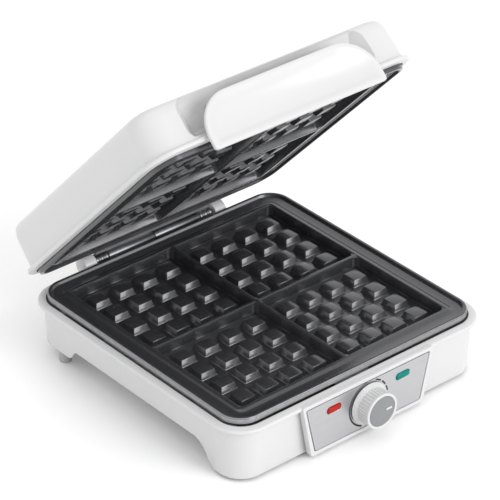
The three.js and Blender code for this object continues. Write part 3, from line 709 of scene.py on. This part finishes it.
def makeDial(sizes):
    back = frontY - (controlPanel["face"] + 0.6) * mm
    front = frontY - sizes["front"] * mm
    centre = (0, 0, dialZ)
    radius = sizes["radius"] * mm
    collarBack = front + sizes["collar"] * mm
    facets = sizes["ribs"] * 2
    piece = cylinder("controlDial", radius, collarBack - 0.1 * mm, back - 2 * mm, 'Y', centre, facets)
    edit(piece)
    # every second facet round the side is sunk between two ribs
    pick(piece, lambda face: abs(face.normal.y) < 0.1 and round(
        (math.atan2(face.normal.x, face.normal.z) % math.tau) / math.tau * facets - 0.5) % 2 == 0)
    bpy.ops.mesh.inset(thickness=0.2 * mm, depth=-sizes["ribDepth"] * mm, use_individual=True)
    collar = cylinder("collar", radius + 0.1 * mm, front, collarBack, 'Y', centre, 96)
    edit(collar)
    pick(collar, lambda face: face.normal.y < -0.9)
    bpy.ops.mesh.inset(thickness=(sizes["radius"] - sizes["ring"]) * mm)
    bpy.ops.mesh.inset(thickness=0.12 * mm, depth=-1.4 * mm)
    softenEdges(collar, 0.45, 3, 50, lambda at: at.y < front + 0.1 * mm)
    foot = cylinder("dialFoot", sizes["foot"] * mm, back - sizes["footRise"] * mm, back, 'Y',
                    centre, 96)
    edit(foot)
    for step in range(sizes["footSteps"]):
        pick(foot, lambda face: face.normal.y < -0.9 and face.calc_area() > 0.0003)
        bpy.ops.mesh.inset(thickness=sizes["footStep"] * mm)
        extrude((0, -sizes["footRise"] * mm, 0))
    tidyMesh()
    softenEdges(foot, 0.15, 1, 50)
    weld(piece, foot, collar)
    return piece


handIn(makeDial(dial), "dial", ["control_dial"], whitePlastic, 30)


def makeCap(sizes):
    front = frontY - sizes["front"] * mm
    cap = cylinder("dialCap", (sizes["ring"] - 0.3) * mm, front + 0.5 * mm, front + 1.3 * mm, 'Y',
                   (0, 0, dialZ), 64)
    slot = box("slot", (4.2 * mm, front - mm, dialZ - 1.2 * mm),
               (11.3 * mm, front + 0.9 * mm, dialZ + 1.2 * mm))
    carve(cap, slot)
    softenEdges(cap, 0.2, 2, 50)
    bar = box("dialPointer", (4.5 * mm, front + 0.1 * mm, dialZ - mm),
              (11 * mm, front + 0.8 * mm, dialZ + mm))
    softenEdges(bar, 0.25, 2, 50)
    return cap, bar


dialCap, dialPointer = makeCap(dial)
handIn(dialCap, "dial", ["dial_cap"], greyCap)
handIn(dialPointer, "dial", ["dial_pointer"], whitePlastic)
print("dial made")

# ---- hinge: knuckles of two leaves on one pin, with a ringed knuckle at each end
hinge = {
    "barrel": 5.5, "groove": 5.0, "bore": 2.3, "seamGap": 0.5, "ring": 3.2, "leaf": 2, "wing": 65,
    "screwX": 40, "screwIn": 9, "screwHole": 1.6, "leafOff": 8.7,
    # from one seam to the next along X, and whether the knuckle is ringed
    "baseKnuckles": [(-52, 0, False), (52, 66, True)],
    "lidKnuckles": [(-66, -52, True), (0, 52, False)],
}


def makeLeaf(sizes, name, spans, strip, leaf):
    pieces = []
    for low, high, ringed in spans:
        low, high = low + sizes["seamGap"] / 2, high - sizes["seamGap"] / 2
        radius = sizes["groove"] if ringed else sizes["barrel"]
        pieces.append(cylinder(name, radius * mm, low * mm, high * mm, 'X', hingeAxis))
        if ringed:
            for start in (low, (low + high - sizes["ring"]) / 2, high - sizes["ring"]):
                ring = cylinder("ring", sizes["barrel"] * mm, start * mm, (start + sizes["ring"]) * mm,
                                'X', hingeAxis)
                softenEdges(ring, 0.3, 2, 50)
                pieces.append(ring)
        else:
            softenEdges(pieces[-1], 0.35, 2, 50)
        pieces.append(prism("strip", strip, sideways(low * mm), ((high - low) * mm, 0, 0)))
    wing = prism("wing", leaf, sideways(-sizes["wing"] * mm), (2 * sizes["wing"] * mm, 0, 0))
    clearSelection()
    weld(wing, *pieces)
    holes = [cylinder("bore", sizes["bore"] * mm, -0.09, 0.09, 'X', hingeAxis, 32)]
    for side in (-1, 1):
        holes.append(cylinder("screwHole", sizes["screwHole"] * mm, 0.03, 0.09, 'Z',
                              (side * sizes["screwX"] * mm,
                               plateY + plateHalf - sizes["screwIn"] * mm, 0), 24))
    carve(wing, *holes)
    wing.name = name
    return wing


# the leaves' outlines in depth and height, in millimetres; the lid's is drawn closed
edge = plateHalf / mm
axisY, axisZ = (hingeAxis.y - plateY) / mm, hingeAxis.z / mm
thick = hinge["leaf"]
baseLow = partingZ / mm - hinge["leafOff"]
baseHigh = baseLow + thick
lidHigh = partingZ / mm + hinge["leafOff"]
lidLow = lidHigh - thick
barrelTop = axisZ + hinge["barrel"]
stripLow = barrelTop - thick
baseBarrel = makeLeaf(
    hinge, "baseHingeLeaf", hinge["baseKnuckles"],
    [(edge + 2, baseLow), (axisY, baseLow), (axisY, baseHigh), (edge + 2, baseHigh)],
    [(edge - 14, baseLow), (edge + 3, baseLow), (edge + 3, baseHigh), (edge - 14, baseHigh)])
lidBarrel = makeLeaf(
    hinge, "lidHingeLeaf", hinge["lidKnuckles"],
    [(edge + 2, stripLow), (axisY, stripLow), (axisY, barrelTop), (edge + 2, barrelTop)],
    [(edge - 14, lidLow), (edge + 1, lidLow), (edge + 1, stripLow), (edge + 3, stripLow),
     (edge + 3, lidHigh), (edge - 14, lidHigh)])
moved(lidBarrel, openLid)
handIn(baseBarrel, "base", ["base_hinge_leaf"], hingeSteel)
handIn(lidBarrel, "lid", ["lid_hinge_leaf"], hingeSteel)
print("hinge made")


# ---- feet and the screws that show underneath; a share is of the piece's own radius
foot = {"stud": 3, "studShare": 0.5, "rimShare": 0.45, "dishSlope": 0.4, "dish": 0.8, "rounding": 0.7}
crossScrew = {"head": 2, "rounding": 0.8, "recess": 1.1, "armShare": 0.55, "widthShare": 0.12,
              "shankShare": 0.42}


def makeFoot(sizes, node):
    low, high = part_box(node)
    middle = (low + high) / 2
    radius = (high.x - low.x) / 2
    top = high.z - sizes["stud"] * mm
    piece = cylinder(node + "_rubber", radius, 0, top, 'Z', middle, 48)
    edit(piece)
    pick(piece, lambda face: face.normal.z < -0.9)
    bpy.ops.mesh.inset(thickness=radius * sizes["rimShare"])
    bpy.ops.mesh.inset(thickness=sizes["dishSlope"] * mm, depth=-sizes["dish"] * mm)
    softenEdges(piece, sizes["rounding"], 3, 50,
                lambda at: at.z < 2 * mm and (at.xy - middle.xy).length > radius * 0.9)
    weld(piece, cylinder("stud", radius * sizes["studShare"], top - mm, high.z, 'Z', middle, 32))
    return piece


def makeScrew(sizes, node):
    # head below, shank up, with a cross recess in the head
    low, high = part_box(node)
    middle = (low + high) / 2
    radius = (high.x - low.x) / 2
    screw = cylinder(node + "_head", radius, low.z, low.z + sizes["head"] * mm, 'Z', middle, 40)
    softenEdges(screw, sizes["rounding"], 3, 50, lambda at: at.z < low.z + mm)
    arm, width = radius * sizes["armShare"], radius * sizes["widthShare"]
    for across, along in [(arm, width), (width, arm)]:
        carve(screw, box("recess", (middle.x - across, middle.y - along, low.z - mm),
                         (middle.x + across, middle.y + along, low.z + sizes["recess"] * mm)))
    weld(screw, cylinder("shank", radius * sizes["shankShare"], low.z + 1.5 * mm, high.z, 'Z',
                         middle, 24))
    return screw


for name in sorted(frame["nodes"]):
    if name.startswith("foot_"):
        handIn(makeFoot(foot, name), "base", [name], footRubber)
    if name.startswith(("cover_screw", "base_leaf_screw")):
        handIn(makeScrew(crossScrew, name), "base", [name], zincSteel)


gland = {"neck": 4.8, "inner": 6.6, "innerThick": 1.6, "collar": 7.4, "collarThick": 3.3,
         "rounding": 0.8, "bore": 3.9, "boreStart": 3}


def makeGland(sizes, node):
    low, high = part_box(node)
    middle = (low + high) / 2
    piece = cylinder("cordGland", sizes["neck"] * mm, low.y, high.y - mm, 'Y', middle, 40)
    inner = cylinder("innerFlange", sizes["inner"] * mm, low.y, low.y + sizes["innerThick"] * mm,
                     'Y', middle, 40)
    collar = cylinder("outerCollar", sizes["collar"] * mm, high.y - sizes["collarThick"] * mm, high.y,
                      'Y', middle, 40)
    softenEdges(collar, sizes["rounding"], 3, 50)
    weld(piece, inner, collar)
    carve(piece, cylinder("cordBore", sizes["bore"] * mm, low.y + sizes["boreStart"] * mm,
                          high.y + mm, 'Y', middle, 32))
    return piece


handIn(makeGland(gland, "cord_gland"), "base", ["cord_gland"], blackRubber)
print("feet, screws and gland made")

# ---- kept CAD nodes get their own finishes
finishes = {
    "bottom_cover": whitePlastic, "hinge_pin": zincSteel, "lower_reflector": bareAluminium,
    "upper_reflector": bareAluminium, "lower_heating_element": elementSteel,
    "upper_heating_element": elementSteel, "thermostat_shaft": zincSteel,
    "thermostat_bracket": zincSteel, "thermostat_body": glazedCeramic,
    "terminal_block": glazedCeramic, "thermal_fuse": glazedCeramic,
    "power_lamp_bulb": lampGlass, "ready_lamp_bulb": lampGlass,
}
for name, node in frame["nodes"].items():
    if name.startswith(("lid_leaf_screw", "handle_screw")):
        finishes[name] = zincSteel
    if name in finishes:
        node.data.materials.clear()
        node.data.materials.append(finishes[name])
        node.data.polygons.foreach_set("material_index", [0] * len(node.data.polygons))

# ---- floor, light and camera
view = {"azimuth": -40.33, "elevation": 31.58, "distance": 2.4996, "right": -0.0054, "up": 0.0437,
        "lens": 209.4}

# a light is its direction, strength and softness in degrees
studio = {"sky": 0.93, "key": ((0.25, -0.85, 0.46), 1.45, 35), "top": ((-0.3, 0.2, 0.93), 0.35, 60)}


def makeStage(sizes):
    clearSelection()
    bpy.ops.mesh.primitive_plane_add(size=14, location=(0, 0, 0))
    floor = settle(bpy.context.object, "floor")
    paper = newMaterial("paleFloor", (0.95, 0.95, 0.95), 0.7)
    varyColour(paper, patterned(paper, 3), (0.945, 0.945, 0.945), (0.955, 0.955, 0.955))
    floor.data.materials.append(paper)
    world = bpy.data.worlds.new("studio")
    bpy.context.scene.world = world
    world.use_nodes = True
    world.node_tree.nodes["Background"].inputs["Color"].default_value = (1, 1, 1, 1)
    world.node_tree.nodes["Background"].inputs["Strength"].default_value = sizes["sky"]


def softSun(name, towards, strength, softness):
    # an even light from far away, as from a large soft box
    bpy.ops.object.light_add(type='SUN')
    lamp = bpy.context.object
    lamp.name = name
    lamp.data.energy = strength
    lamp.data.angle = math.radians(softness)
    lamp.rotation_euler = Vector(towards).to_track_quat('Z', 'Y').to_euler()


def makeCamera(sizes):
    turn, rise = math.radians(sizes["azimuth"]), math.radians(sizes["elevation"])
    back = Vector((math.sin(turn) * math.cos(rise), -math.cos(turn) * math.cos(rise), math.sin(rise)))
    right = Vector((math.cos(turn), math.sin(turn), 0))
    up = back.cross(right)
    bpy.ops.object.camera_add()
    camera = bpy.context.object
    aim = Vector((0, plateY, rimZ)) + right * sizes["right"] + up * sizes["up"]
    camera.matrix_world = (Matrix.Translation(aim + back * sizes["distance"])
                           @ Matrix((right, up, back)).transposed().to_4x4())
    camera.data.lens = sizes["lens"]
    bpy.context.scene.camera = camera


makeStage(studio)
softSun("keyLight", *studio["key"])
softSun("topLight", *studio["top"])
makeCamera(view)
bpy.context.scene.view_settings.view_transform = 'Standard'
print("stage made")

clearSelection()
